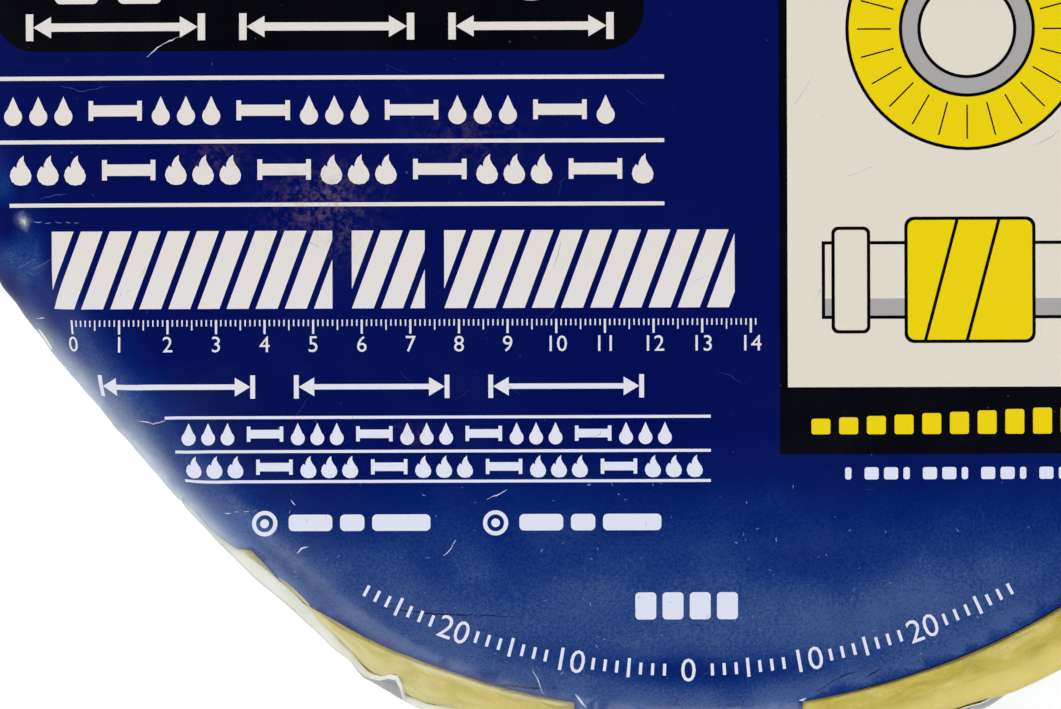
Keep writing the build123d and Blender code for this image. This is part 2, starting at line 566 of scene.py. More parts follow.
def outer_profile(turns, across, upper):
    """Points across the outer turn's end: from its inner groove over the shoulder to the top of the wall."""
    angle = spiral_angle(turns)[:, None]
    inner = inner_side(turns)[:, None]
    tail_radius = inner_side(TURNS)
    # Just past the strip's outer end the turn below it has not yet come up to the roll's round.
    risen = smoothstep(0.0, 0.02, turns[:, None] - (TURNS - 1))
    outer = tail_radius + (SKIN_R - tail_radius) * risen
    flat = np.maximum(outer - SHOULDER_R - inner, 0.5)
    path = np.linspace(0, 1, across + 1) * (flat + SHOULDER_R * math.pi / 2)
    turned = np.clip((path - flat) / SHOULDER_R, 0, math.pi / 2)
    radius = inner + np.minimum(path, flat) + (outer - inner - flat) * np.sin(turned)
    beyond = np.clip(radius - (outer - SHOULDER_R), 0, SHOULDER_R)
    fallen = np.maximum(SHOULDER_R * (1 - np.cos(turned)), SHOULDER_R - np.sqrt(SHOULDER_R**2 - beyond**2))
    if upper:
        edge, _, _, covered = facing_lip(angle, False)
        from_lip = SKIN_R - radius - SHOULDER_R * (1 - np.cos(np.radians(edge)))
        fallen = fallen - 1.6 * (1 - covered) * bell(from_lip - 0.4, 1.3)
        radius = radius + 1.6 * swollen(angle) * bell(np.degrees(turned) - 62, 16)
        radius = radius + 1.15 * baggy(angle) * smoothstep(20, 60, np.degrees(turned))
    return end_points(radius, turns, into_groove(path) + fallen, upper, 0.35 + 0.65 * np.cos(turned))


def strip_end(upper):
    """One end of the strip, row by row along the spiral: points, quads, texture places and both edges."""
    across, across_outer = (ACROSS_HIDDEN, ACROSS_OUTER) if upper else (ACROSS_BACK, ACROSS_OUTER_BACK)
    inner_rows = (TURNS - 1) * AROUND
    turns = np.arange(inner_rows + AROUND + 1) / AROUND
    inner = turn_profile(turns[:inner_rows], across, upper)
    outer = outer_profile(turns[inner_rows:], across_outer, upper)
    points = np.concatenate([inner.reshape(-1, 3), outer.reshape(-1, 3)])
    place = np.arange(len(points))
    inner_place = place[:inner_rows * across].reshape(inner_rows, across)
    outer_place = place[inner_rows * across:].reshape(AROUND + 1, -1)
    # The far side of a turn is the near side of the next.
    near_side = np.concatenate([inner_place[:, 0], outer_place[:, 0]])
    inner_place = np.column_stack([inner_place, near_side[AROUND:-1]])
    inner_place = np.concatenate([inner_place, outer_place[:1, :across + 1]])
    rows = np.repeat(np.arange(len(turns)), [across] * inner_rows + [across_outer + 1] * (AROUND + 1))
    columns = np.concatenate([
        np.tile(np.arange(across) / across * TURN, inner_rows),
        np.tile(np.linspace(0, OUTER_WIDTH, across_outer + 1), AROUND + 1),
    ])
    length = np.cumsum(inner_side(turns)) * 2 * math.pi / AROUND
    # The wool's streaks bend round the deepest pleat.
    radius, angle = polar(points[:, 0], points[:, 1])
    at_rim = np.exp(-np.maximum(pressed_radius(angle) - radius, 0) / 5.0)
    dodge = 1.8 * near_angle(angle, PLEATS[0][0] + 0.6, 1.9) * at_rim
    uv = points_of(length[rows], columns + dodge + UV_SHIFT * (rows // AROUND)) / UV_UNIT
    faces = np.concatenate([quads(inner_place), quads(outer_place)])
    return points, faces, uv, near_side[:AROUND + 1], outer_place[:, -1]


def wound_strip(material):
    """The whole strip as one body: both ends, the wall that the facing covers and the wall of the eye."""
    top, top_faces, top_uv, top_inner, top_outer = strip_end(True)
    back, back_faces, back_uv, back_inner, back_outer = strip_end(False)
    offset = len(top)
    wall = quads(np.stack([top_outer, back_outer + offset]))
    eye = quads(np.stack([top_inner, back_inner + offset]))
    faces = np.concatenate([top_faces, back_faces[:, ::-1] + offset, wall[:, ::-1], eye])
    points = np.concatenate([top, back])
    x, y, z = points.T
    radius, angle = polar(x, y)
    inset = pressed_radius(angle) - radius + 1.4 * smooth_noise(points * [0.4, 0.4, 0.0], 4.0, 77)
    # The pale value is partly the wool's own paler tone and partly painted light on the outer wool, where the
    # shoulder is lit.
    pale = 0.30 * (1 - smoothstep(1.0, 5.0, inset)) + near_angle(angle, 236.0, 7.5)
    # Left of the lower strap the fibre is paler, and right beside the card more so: painted light that lifts
    # the shade of the card's edge.
    beside_card = 1 - smoothstep(0.4, 2.4, -inside_card(x - LABEL_X, y))
    pale = pale + window(angle % 360, 242.0, 249.0, 262.0, 266.0) * (0.22 + 0.78 * beside_card)
    # Painted light: the outer wool lighter and warmer, except near 246 degrees, where the lip shades it.
    outer_painted_light = 0.75 * (1 - smoothstep(4.5, 8.0, inset)) * (1 - near_angle(angle, 246.0, 9.0))
    on_top = z > STRIP_TOP / 2
    values = {
        "pale": np.where(on_top, pale, 0.3),
        "outer_painted_light": np.where(on_top, outer_painted_light, 0.0),
        # Painted shade of the label on the wool beside the lip.
        "lip_painted_shade": near_angle(angle, 233.5, 3.2) * on_top,
    }
    uv = np.concatenate([top_uv, back_uv])
    made = make_mesh("wound_strip", points, faces.tolist(), [material], uv=uv, values=values)
    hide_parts("fibreglass_roll")
    return made


# Facing.

FACING_AROUND = 640
LIP_STEPS = 10
SHOULDER_STEPS = 8
WALL_STEPS = 28
FACING_THICKNESS = 0.2
EDGE_TURN = 28.0              # how far up the shoulder the facing's edge lies, in degrees from the wall
LIP_ANGLE = 86.0              # direction of the lip's end, in degrees up from level outward
LEAN_ANGLE = 25.0             # the same where the lip leans outward and shows its pale inner side
LIP_BEND = 0.3                # share of the lip, next to the shoulder, that bends; the rest is straight
LIP_REST = 0.35               # how wide the lip's inner side shows from above where it stands upright
LIP_REACH = (                 # and how wide on the lower left, by angle
    (219, LIP_REST), (223, 0.5), (228, 1.3), (229.7, 2.0), (231.7, 3.2), (235.9, 2.8), (239.6, 2.3),
    (241.5, 1.6), (243.3, 1.0), (244.9, 0.75), (246.4, 0.75), (247.9, 1.1), (253, 0.9), (262, LIP_REST),
)
LIP_BEYOND = (                # how far past the round the leaning lip ends, by angle
    (223, 0.1), (226, 0.2), (228, 0.5), (229, 0.7), (232, 0.65), (234, 0.4), (236, 0.15), (240, 0.1),
    (244, 0.6),
)
PLEATS = (                    # each one's angle, its edge (0 upper, 1 lower) and its depth in degrees
    (246.1, 0, 17.0), (20.0, 0, 14.0), (112.0, 0, 17.0), (165.0, 0, 12.0), (331.0, 0, 9.0),
    (35.0, 1, 15.0), (128.0, 1, 12.0), (204.0, 1, 18.0), (247.0, 1, 10.0), (318.0, 1, 14.0),
)


def swollen(angle):
    """1 on the lower right, where the wool swells over the facing's edge, and 0 elsewhere."""
    return window(angle % 360, 289, 294, 308, 330)


def baggy(angle):
    """How far the facing and the wool behind it bag out beside the deepest pleat."""
    return 1.35 * window(angle % 360, 241.5, 243.8, 248.3, 250.5)


def strap_cover(angle, near, far):
    """1 where a strap goes over the rim, falling to 0 between these distances from the strap's edge."""
    return 1 - smoothstep(near, far, np.abs(plan_point(ROLL_R, angle)[0] - LABEL_X) - HALF_STRAP)


def facing_lip(angle, lower):
    """The facing's edge: how far up the shoulder, the lip's length, its end's direction and its cover."""
    turn = angle % 360
    ring = points_of(*plan_point(ROLL_R, angle), 40.0 * lower)
    ripple = smooth_noise(ring, 6.5, 32)
    edge = EDGE_TURN + 3.0 * smooth_noise(ring, 30.0, 31) + 2.0 * ripple
    edge = edge - 4.0 * near_angle(angle, 297.0, 20.0)
    reach = LIP_REST if lower else by_angle(LIP_REACH, angle)
    leaning = smoothstep(LIP_REST, 0.8, reach)
    edge = edge + 3.4 * (reach - LIP_REST)
    beyond = by_angle(LIP_BEYOND, angle)
    hanging = np.degrees(np.arccos(1 - np.maximum(reach - beyond, 0.15) / SHOULDER_R)) + 1.2 * ripple
    edge = edge + (hanging - edge) * leaning * (1 - smoothstep(239, 243, turn))
    edge = edge - 6.0 * window(turn, 246.4, 246.9, 250, 255)
    for place, side, depth in PLEATS:
        if side == lower:
            from_pleat = angle_from(angle, place)
            behind = bell(np.minimum(from_pleat + 0.5, 0), 0.8)
            edge = edge + depth * behind * (1 - smoothstep(0.1, 0.45, from_pleat))
    length = 0.6 + 1.15 * reach + 0.35 * smooth_noise(ring, 12.0, 33) + 0.15 * ripple
    upright = LIP_ANGLE + 14.0 * smooth_noise(ring, 16.0, 34)
    final = upright + (LEAN_ANGLE + 8.0 * ripple - upright) * leaning
    covered = strap_cover(angle, 0.3, 1.9)
    if not lower:
        card_edge = card_radius(angle) + plan_point(LABEL_X, angle)[0]
        over_shoulder = np.degrees((card_edge - pressed_radius(angle) + SHOULDER_R) / CARD_R)
        covered = np.maximum(covered, smoothstep(2.0, 8.0, over_shoulder - (90 - edge)) * (1 - leaning))
    length = length * (1 - covered) + 0.4 * covered
    final = final * (1 - covered) + (85 + edge) * covered
    return edge, length, final, covered


def facing_end(angle, lower, level):
    """The facing's section over one shoulder, from the lip's end to the wall, which starts at a level.

    Its inset and height, the outward and upward part of its normal and of the shoulder's that carries it,
    how close it is to the edge, and how far it is covered.
    """
    edge, length, final, covered = (values[:, None] for values in facing_lip(angle, lower))
    base = np.radians(edge)
    first = math.pi / 2 + base
    bent = smoothstep(0.0, LIP_BEND, np.linspace(0, 1, LIP_STEPS + 1))
    direction = first + (np.radians(final) - first) * bent
    middle = (direction[:, 1:] + direction[:, :-1]) / 2
    step = length / LIP_STEPS
    start = 0 * base
    inward = np.concatenate([np.cumsum(-np.cos(middle) * step, axis=1)[:, ::-1], start], 1)
    upward = np.concatenate([np.cumsum(np.sin(middle) * step, axis=1)[:, ::-1], start], 1)
    turned = base * np.linspace(1, 0, SHOULDER_STEPS + 1)[1:]
    bend = np.concatenate([base + 0 * inward, turned], 1)
    on_shoulder = 0 * turned
    inset = SHOULDER_R * (1 - np.cos(bend)) + np.concatenate([inward, on_shoulder], 1)
    rise = SHOULDER_R * np.sin(bend) + np.concatenate([upward, on_shoulder], 1)
    direction = np.concatenate([direction[:, ::-1], math.pi / 2 + turned], 1)
    carried = math.pi / 2 + bend
    up = -1 if lower else 1
    return (
        inset, level + up * rise, np.sin(direction), -up * np.cos(direction), np.sin(carried),
        -up * np.cos(carried), (bend / base) ** 1.5, covered + 0 * rise,
    )


def facing_surface():
    """The facing's outer face and its normals, row by row round the roll, each from the upper edge down."""
    angle = np.arange(FACING_AROUND) / FACING_AROUND * 360.0
    low, high = LABEL_THICKNESS + SHOULDER_R, STRIP_TOP - SHOULDER_R
    wall_z = low + (high - low) * np.linspace(1, 0, WALL_STEPS + 1)[1:-1]
    wall = (0, wall_z, 1, 0, 1, 0, 0, strap_cover(angle, -0.6, 3.0)[:, None])
    blank = np.zeros((FACING_AROUND, WALL_STEPS - 1))
    inset, z, out, up, stand_out, stand_up, near_edge, covered = (
        np.concatenate([upper, blank + between, lower[:, ::-1]], 1)
        for upper, between, lower in zip(facing_end(angle, 0, high), wall, facing_end(angle, 1, low))
    )
    angle = angle[:, None] + 0 * z
    place = points_of(*plan_point(pressed_radius(angle) - inset, angle), z)
    stretched = place * [1.0, 1.0, 0.35]
    creases = 1 - 2 * np.abs(smooth_noise(stretched, 8.5, 42))
    small = 1 - 2 * np.abs(smooth_noise(place, 3.6, 43))
    gathers = smooth_noise(place * [1.0, 1.0, 0.1], 4.6, 44) * near_edge
    stand = 0.40 + 0.30 * smooth_noise(stretched, 24.0, 41) + 0.22 * creases + 0.10 * small + 0.35 * gathers
    stand = stand * (1 - window(angle, 213, 218, 238, 241))
    stand = stand * (1 - 0.9 * swollen(angle) * smoothstep(40, 60, z))
    stand = stand + 0.9 * near_angle(angle, 291.3, 1.5) + baggy(angle)
    stand = np.clip(stand, -0.2, 2.2) * (1 - covered) - 0.1 * covered
    radius = pressed_radius(angle) - inset + stand * stand_out
    z = np.maximum(sunk(radius, angle, z + stand * stand_up), 0.1)
    return points_of(*plan_point(radius, angle), z), points_of(*plan_point(out, angle), up)


def foil_wrap(outside, inside):
    """The facing where it shows: one thin sheet round the outer turn, bright outside and pale inside."""
    outer, normal = facing_surface()
    inner = outer - FACING_THICKNESS * normal
    place = np.arange(outer[..., 0].size).reshape(outer.shape[:2])
    count = place.size
    place = np.concatenate([place, place[:1]])
    front = quads(place.T)
    upper_edge = quads(np.stack([place[:, 0] + count, place[:, 0]]))
    lower_edge = quads(np.stack([place[:, -1], place[:, -1] + count]))
    faces = np.concatenate([front[:, ::-1], front + count, upper_edge, lower_edge])
    kinds = np.arange(len(faces)) >= len(front)
    points = np.concatenate([outer.reshape(-1, 3), inner.reshape(-1, 3)])
    made = make_mesh("foil_wrap", points, faces.tolist(), [outside, inside], kinds)
    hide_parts("foil_facing")
    return made


EDGE_RIBBON_DEPTH = 3.0       # how much of the facing's edge is made in each groove
HALF_EDGE = 0.12              # half the ribbon's thickness
EDGE_STEPS = 240              # steps round one turn


def foil_edges(material):
    """The facing's edge between turns: a thin wavy line in each groove on the back, and in one in front."""
    points = []
    faces = []
    base = 0
    for upper, first, last in ((False, 1, TURNS), (True, TURNS - 1, TURNS)):
        turns = np.linspace(first, last, (last - first) * EDGE_STEPS + 1)
        angle = spiral_angle(turns)
        radius = inner_side(turns)
        line = points_of(np.cumsum(radius) * 2 * math.pi / EDGE_STEPS, 0, 9.0 * upper)
        sway = 0.35 * smooth_noise(line, 6.0, 51) + 0.2 * smooth_noise(line, 2.4, 52)
        rise = 0.75 + 0.3 * smooth_noise(line, 11.0, 53) + 0.2 * smooth_noise(line, 3.0, 54)
        for side in (-HALF_EDGE, HALF_EDGE):
            for lean, depth in ((0, EDGE_RIBBON_DEPTH), (sway, rise)):
                ring = press(radius + lean + side, angle)
                z = sunk(ring, angle, STRIP_TOP - 0.9 - depth) if upper else depth
                points.append(points_of(*plan_point(ring, angle), z))
        low_in, high_in, low_out, high_out = base + np.arange(4 * len(turns)).reshape(4, -1)
        faces += [quads(np.stack([high_in, high_out])), quads(np.stack([low_in, high_in]))]
        faces += [quads(np.stack([low_out, high_out], 1)), quads(np.stack([low_in, low_out], 1))]
        base += 4 * len(turns)
    made = make_mesh("foil_edges", np.concatenate(points), np.concatenate(faces).tolist(), [material])
    return made


# Label: how the flat card lies on the roll. Flat points are from the label's own centre.

WALL_LENGTH = STRIP_TOP - LABEL_THICKNESS - 2 * SHOULDER_R
BEND_LENGTH = CARD_R * math.pi / 2
TO_BACK = 2 * BEND_LENGTH + WALL_LENGTH       # length of card from the upper shoulder's start to the back
STRAP_END = ROLL_R - SHOULDER_R + TO_BACK + STRAP_ON_BACK - SHOULDER_R
STRAP_SLACK = 0.15            # a point this far outside a strap's side still bends with the strap
SPRING_ANGLE = 199.0          # on the left the card springs back straight


def over_the_rim(length):
    """How far out and how high the card's outer face is, this far along it from the shoulder's start."""
    first = np.clip(length / CARD_R, 0, math.pi / 2)
    wall = np.clip(length - BEND_LENGTH, 0, WALL_LENGTH)
    second = np.clip((length - BEND_LENGTH - WALL_LENGTH) / CARD_R, 0, math.pi / 2)
    outward = CARD_R * (np.sin(first) + np.cos(second) - 1) - np.maximum(length - TO_BACK, 0)
    height = LABEL_TOP - CARD_R * (1 - np.cos(first)) - wall - CARD_R * np.sin(second)
    return outward, height


def lay_card(flat):
    """The flat label's points laid on the roll, without waves."""
    x, y = flat[:, 0] + LABEL_X, flat[:, 1]
    radius, angle = polar(x, y)
    start = pressed_radius(angle) - SHOULDER_R
    is_strap = (np.abs(flat[:, 0]) <= HALF_STRAP + STRAP_SLACK) & (np.abs(y) > LABEL_R * 0.9)
    strap_start = np.sqrt(np.maximum(start**2 - x**2, 0))
    length = np.where(is_strap, np.abs(y) - strap_start, radius - start)
    bent = length > 0
    outward, height = over_the_rim(np.maximum(length, 0))
    laid_radius = np.where(bent, start + outward, radius)
    front_x, front_y = plan_point(laid_radius, angle)
    inward = np.maximum(start - laid_radius, 0) * bent
    rim_y = np.sqrt(np.maximum(np.maximum(laid_radius, start) ** 2 - x**2, 0)) - inward
    rim_y = np.where(bent, rim_y, np.abs(y)) * np.sign(y)
    x = np.where(is_strap, x, front_x)
    y = np.where(is_strap, rim_y, front_y)
    return points_of(x, y, sunk(*polar(x, y), np.where(bent, height, LABEL_TOP)))


def card_waves(flat):
    """How far the card stands off: slow waves, the faint rings of the turns, and gathers at the edge."""
    x, y = flat.T
    radius, angle = polar(x + LABEL_X, y)
    place = points_of(x, y, 0)
    slow = 0.30 * smooth_noise(place, 48.0, 61) + 0.16 * smooth_noise(place, 19.0, 62)
    turns = (radius - EYE_R - START_THICKNESS) / TURN + angle_from(TAIL_ANGLE, angle) / 360
    rings = 0.05 * np.cos(2 * math.pi * turns) * smoothstep(40, 90, radius)
    from_edge = inside_card(x, y)
    near_edge = np.clip(1 - from_edge / 14.0, 0, 1) * (from_edge > -0.5)
    ring = points_of(*plan_point(150.0, angle), 5.0)
    lift = (0.30 * smooth_noise(ring, 13.0, 63) + 0.12 * smooth_noise(ring, 5.0, 64)) * near_edge**2
    gathers = 0.30 * smooth_noise(ring, 4.2, 65) + 0.22 * smooth_noise(ring, 1.9, 66)
    gathers = gathers * near_angle(angle, 214.0, 15.0) * near_edge
    pouch = by_angle(POUCH, angle) * smoothstep(0.25, 1.0, near_edge)
    on_back = np.abs(y) > ROLL_R - SHOULDER_R + TO_BACK - 4
    return np.where(on_back, 0.0, np.maximum(0.25 + slow + rings + lift + gathers + pouch, 0.06))


def laid_label(flat, below=0.0):
    """Points of the label as it lies with its waves, this far below its printed face."""
    step = 0.04
    base = lay_card(flat)
    normal = unit(np.cross(lay_card(flat + [step, 0]) - base, lay_card(flat + [0, step]) - base))
    laid = base + normal * (card_waves(flat) - below)[:, None]
    laid[:, 2] = np.maximum(laid[:, 2], below)
    return laid


def label_normals(flat):
    step = 0.08
    to_x = laid_label(flat + [step, 0]) - laid_label(flat - [step, 0])
    to_y = laid_label(flat + [0, step]) - laid_label(flat - [0, step])
    normal = unit(np.cross(to_x, to_y))
    # Where the card springs back straight, it turns down less than the rim below it.
    angle = polar(flat[:, 0] + LABEL_X, flat[:, 1])[1]
    normal[:, :2] *= (1 - 0.55 * near_angle(angle, SPRING_ANGLE, 5.0))[:, None]
    return unit(normal)


# Label: painted sheen, a painted reflection on the print, and wear. Soft spots are centre, half width, half
# height and strength.

PALE_SPOTS = (
    (-136.6, -48.2, 0.75, 0.85, 0.75), (-137.6, -47.2, 0.8, 0.5, 0.16), (-136.2, -49.4, 0.5, 0.9, 0.14),
    (-134.5, -57.6, 2.6, 0.9, 0.03), (-137.6, -60.0, 1.6, 1.6, 0.04),
)
# Spots of more and of less painted sheen.
SHEEN_SPOTS = (
    (64.0, -134.0, 14.0, 8.0, 0.055), (-47.0, -131.0, 12.0, 7.0, 0.025), (-138.0, -66.0, 3.0, 9.0, 0.04),
    (-26.0, -118.0, 16.0, 7.0, -0.035), (36.0, -118.0, 16.0, 9.0, -0.025), (78.0, -112.0, 12.0, 9.0, -0.01),
    (-74.0, -116.0, 12.0, 9.0, -0.030), (4.0, -142.0, 24.0, 8.0, -0.030),
)
SMUDGES = (
    (-75.6, -44.8, 8.5, 6.0, 0.50), (-96.6, -34.9, 4.5, 2.2, 0.38), (-70.5, -53.0, 3.0, 3.4, 0.30),
    (-44.7, -31.0, 9.0, 4.6, 0.16), (-57.0, -92.4, 2.6, 2.0, 0.25),
)


def pressed_window(angle):
    """1 along the rim's pressed side, and little elsewhere."""
    return 0.02 + 0.98 * window(angle % 360, 203, 212, 234, 244)


def card_haze(flat):
    """How strong the painted sheen on the print is, a painted reflection of a broad light: most on the lower
    part and near the pressed rim.
    """
    x, y = flat[:, 0] + LABEL_X, flat[:, 1]
    radius, angle = polar(x, y)
    inset = pressed_radius(angle) - radius
    ringed = points_of(np.radians(angle % 360) * 140 / 2.6, radius, 0)
    place = points_of(x, y, 0)
    wander = 4.0 * smooth_noise(place, 40.0, 75)
    lower = 1 - smoothstep(-129, -88, y + wander - 0.05 * x) + 0.35 * (1 - smoothstep(-150, -126, y))
    # The painted sheen is weaker on a crescent below the middle, over a turn of the strip under the card.
    crescent = bell(radius - 141.5, 3.0) * near_angle(angle, 268.0, 17.0)
    side = near_angle(angle, SPRING_ANGLE, 6.0) * (1 - smoothstep(2, 16, inset))
    rim = (1 - smoothstep(3, 18, inset)) * pressed_window(angle)
    patches = 1 + 0.20 * smooth_noise(ringed, 11.0, 68) + 0.12 * smooth_noise(place, 7.0, 70)
    patches = patches + 0.26 * smooth_noise(ringed, 3.6, 78) * (0.3 + 0.7 * rim)
    sheen_streaks = np.maximum(0.7 + 1.3 * smooth_noise(points_of(x / 3, y / 8, 0), 1.0, 76), 0)
    sheen_amount = 0.018 + 0.182 * lower * (1 - 0.5 * crescent) + 0.14 * rim + spots(flat, SHEEN_SPOTS)
    at_the_cut = np.maximum(smoothstep(0.0, 0.8, inside_card(*flat.T)), np.abs(flat[:, 0]) < HALF_STRAP - 1)
    return np.maximum(sheen_amount * patches + 0.15 * side * sheen_streaks, 0) * (0.25 + 0.75 * at_the_cut)


def card_rubbed(flat):
    """How far the print is whitened: painted sheen in a band where the card bends over the pressed rim,
    growing with its tilt, and pale spots of rubbing.
    """
    x, y = flat[:, 0] + LABEL_X, flat[:, 1]
    radius, angle = polar(x, y)
    inset = pressed_radius(angle) - radius
    turn = angle % 360
    place = points_of(x, y, 0)
    patches = 1 + 0.12 * smooth_noise(place, 9.0, 69)
    grain = smooth_noise(points_of(np.radians(angle) * 150 / 7, inset, 0), 2.6, 74)
    # Painted sheen: the card whitens as it tilts over the rim, as a grazing reflection would.
    tilt = np.degrees((SHOULDER_R - inset) / CARD_R) + 4.0 * smooth_noise(place, 9.0, 73) + 3.0 * grain
    begins = 20 + 12 * (1 - smoothstep(206, 217, turn))
    band = smoothstep(0, 1, (tilt - begins) / (72 - begins)) ** 1.6 * pressed_window(angle)
    band = 0.62 * band * (1 + 0.10 * grain) * patches
    cloud = 0.020 * (1 - smoothstep(2, 30, inset)) * window(turn, 214, 222, 246, 268)
    cloud = cloud * (0.8 + 0.9 * smooth_noise(place, 12.0, 67))
    return np.clip(band + cloud + spots(flat, PALE_SPOTS), 0, 1)


# Label: flat shapes of its print. A shape is an ink and a loop of points from the label's centre.

LONGEST_SIDE = 2.4            # no stretch between two points of a printed outline is longer than this


def densify(loop):
    """A loop with points added along its longer sides."""
    loop = np.asarray(loop, float)
    parts = []
    for start, end in zip(loop, np.roll(loop, -1, axis=0)):
        count = max(1, math.ceil(np.linalg.norm(end - start) / LONGEST_SIDE))
        parts.append(start + (end - start) * (np.arange(count) / count)[:, None])
    return np.concatenate(parts)


def rectangle(left, low, right, high):
    return [(left, low), (right, low), (right, high), (left, high)]


def arc(x, y, radius, first, turn, steps):
    """Points along an arc from a first angle, through a turn."""
    turns = [math.radians(first + turn * k / steps) for k in range(steps + 1)]
    return [(x + radius * math.cos(t), y + radius * math.sin(t)) for t in turns]


def rounded(left, low, right, high, radius):
    """A rectangle with round corners."""
    in_left, in_low, in_right, in_high = left + radius, low + radius, right - radius, high - radius
    corners = (
        (in_right, in_low, -90), (in_right, in_high, 0), (in_left, in_high, 90), (in_left, in_low, 180),
    )
    return [point for x, y, first in corners for point in arc(x, y, radius, first, 90, 6)]


def disc(x, y, radius, steps):
    return arc(x, y, radius, 0, 360, steps)[:-1]


def rings(x, y, *discs):
    """Discs about one centre, each given as ink, radius and steps."""
    return [(ink, disc(x, y, radius, steps)) for ink, radius, steps in discs]


TICK_STEP = 0.1               # degrees between the points along a tick's ends


def tick_mark(radius, reach, angle, half_wide):
    """A tick of a round scale, which reaches this far in and out."""
    first, last = angle - half_wide, angle + half_wide
    steps = math.ceil((last - first) / TICK_STEP)
    outer, inner = (arc(0, 0, radius + far, first, last - first, steps) for far in (reach, -reach))
    return ("white", outer + inner[::-1])


def droplet(x, y, height):
    """A drop that stands on a low point, its tip up."""
    radius = height * 0.31
    return arc(x, y + radius, radius, -230, 280, 16) + [(x, y + height)]


FLAME = (
    (0.00, 0.00), (0.20, 0.03), (0.33, 0.16), (0.36, 0.33), (0.30, 0.50), (0.18, 0.66), (0.10, 0.82),
    (0.10, 1.00), (-0.04, 0.88), (-0.12, 0.72), (-0.14, 0.58), (-0.22, 0.64), (-0.32, 0.50), (-0.36, 0.32),
    (-0.30, 0.14), (-0.16, 0.03),
)


def flame(x, y, height):
    """A flame with a leaning tip."""
    return [(x + a * height, y + b * height) for a, b in FLAME]


def moved(loop, x, y, turn):
    c, s = math.cos(math.radians(turn)), math.sin(math.radians(turn))
    return [(x + a * c - b * s, y + a * s + b * c) for a, b in loop]


def arrow(left, right, y, shaft, head):
    """A double-headed arrow between two places, with a stop line at each end."""
    stop, tall, half = shaft * 0.9, head * 0.75, head * 0.6
    first, last = left + stop, right - stop
    loops = [
        rectangle(left, y - tall, first, y + tall),
        rectangle(last, y - tall, right, y + tall),
        rectangle(first + head, y - shaft / 2, last - head, y + shaft / 2),
        [(first, y), (first + head, y - half), (first + head, y + half)],
        [(last, y), (last - head, y + half), (last - head, y - half)],
    ]
    return [("white", loop) for loop in loops]


def number_loops(value, height):
    """The outlines of a plain number, centred on zero and standing on it, outer loops before holes."""
    curve = bpy.data.curves.new("number", "FONT")
    curve.body = str(value)
    curve.align_x = "CENTER"
    curve.resolution_u = 3
    curve.fill_mode = "NONE"
    holder = add_object("number", curve)
    mesh = holder.to_mesh()
    after = {}
    for edge in mesh.edges:
        first, second = edge.vertices
        after.setdefault(first, []).append(second)
        after.setdefault(second, []).append(first)
    loops = []
    left = set(after)
    while left:
        loop = []
        following = [min(left)]
        while following:
            loop.append(following[0])
            left.discard(following[0])
            following = [place for place in after[loop[-1]] if place in left]
        loops.append([mesh.vertices[place].co.to_2d() for place in loop])
    holder.to_mesh_clear()
    bpy.data.objects.remove(holder)
    bpy.data.curves.remove(curve)
    scale = height / max(point.y for loop in loops for point in loop)
    return [[(point.x * scale, point.y * scale) for point in loop] for loop in loops]


def signed_area(loop):
    after = np.roll(loop, -1, axis=0)
    return 0.5 * float(np.sum(loop[:, 0] * after[:, 1] - after[:, 0] * loop[:, 1]))


def contains(loop, point):
    inside = False
    for (x0, y0), (x1, y1) in zip(loop, loop[1:] + loop[:1]):
        if (y0 > point[1]) != (y1 > point[1]) and point[0] < x0 + (point[1] - y0) * (x1 - x0) / (y1 - y0):
            inside = not inside
    return inside


def number(value, x, y, height, turn=0.0):
    """A plain number as shapes: its outlines in white, and then its holes in the blue of the ground."""
    loops = number_loops(value, height)
    holes = [any(other is not loop and contains(other, loop[0]) for other in loops) for loop in loops]
    return [
        (ink, moved(loop, x, y, turn))
        for ink, wanted in (("white", False), ("blue", True))
        for loop, is_hole in zip(loops, holes) if is_hole == wanted
    ]


def clip_sides(loop, left, right):
    """A convex loop cut off at two upright lines."""
    for limit, keep in ((left, 1), (right, -1)):
        kept = []
        for (x0, y0), (x1, y1) in zip(loop, loop[1:] + loop[:1]):
            inside = keep * (x0 - limit) >= 0
            if inside:
                kept.append((x0, y0))
            if inside != (keep * (x1 - limit) >= 0):
                kept.append((limit, y0 + (y1 - y0) * (limit - x0) / (x1 - x0)))
        loop = kept
    return loop


def wrap_band(left, low, right, high, bar, gap, slant):
    """A white pipe wound with a slanting strip: bars with narrow gaps, cut square at both ends."""
    shapes = []
    x = left - slant
    while x < right:
        bar_loop = [(x, low), (x + bar, low), (x + bar + slant, high), (x + slant, high)]
        clipped = clip_sides(bar_loop, left, right)
        if len(clipped) > 2:
            shapes.append(("white", clipped))
        x += bar + gap
    return shapes


def symbol_row(left, right, low, height, symbol, step, dash):
    """A row of small symbols in threes, with a flanged pipe piece between each three."""
    shapes = []
    margin, tube, flange, thick = height * 0.3, height * 0.19, height * 0.34, height * 0.16
    middle = low + height / 2
    x = left + margin
    while x < right - margin:
        for _ in range(3):
            if x < right - margin:
                shapes.append(("white", symbol(x, low, height)))
            x += step
        end = x + dash
        if end < right:
            for first, last, half in ((x, end, tube), (x, x + thick, flange), (end - thick, end, flange)):
                shapes.append(("white", rectangle(first, middle - half, last, middle + half)))
        x = end + step * 0.75
    return shapes


def by_tick(tick, ten, five, one):
    """A size that depends on whether a tick of a scale counts a ten, a five or a one."""
    return ten if tick % 10 == 0 else five if tick % 5 == 0 else one


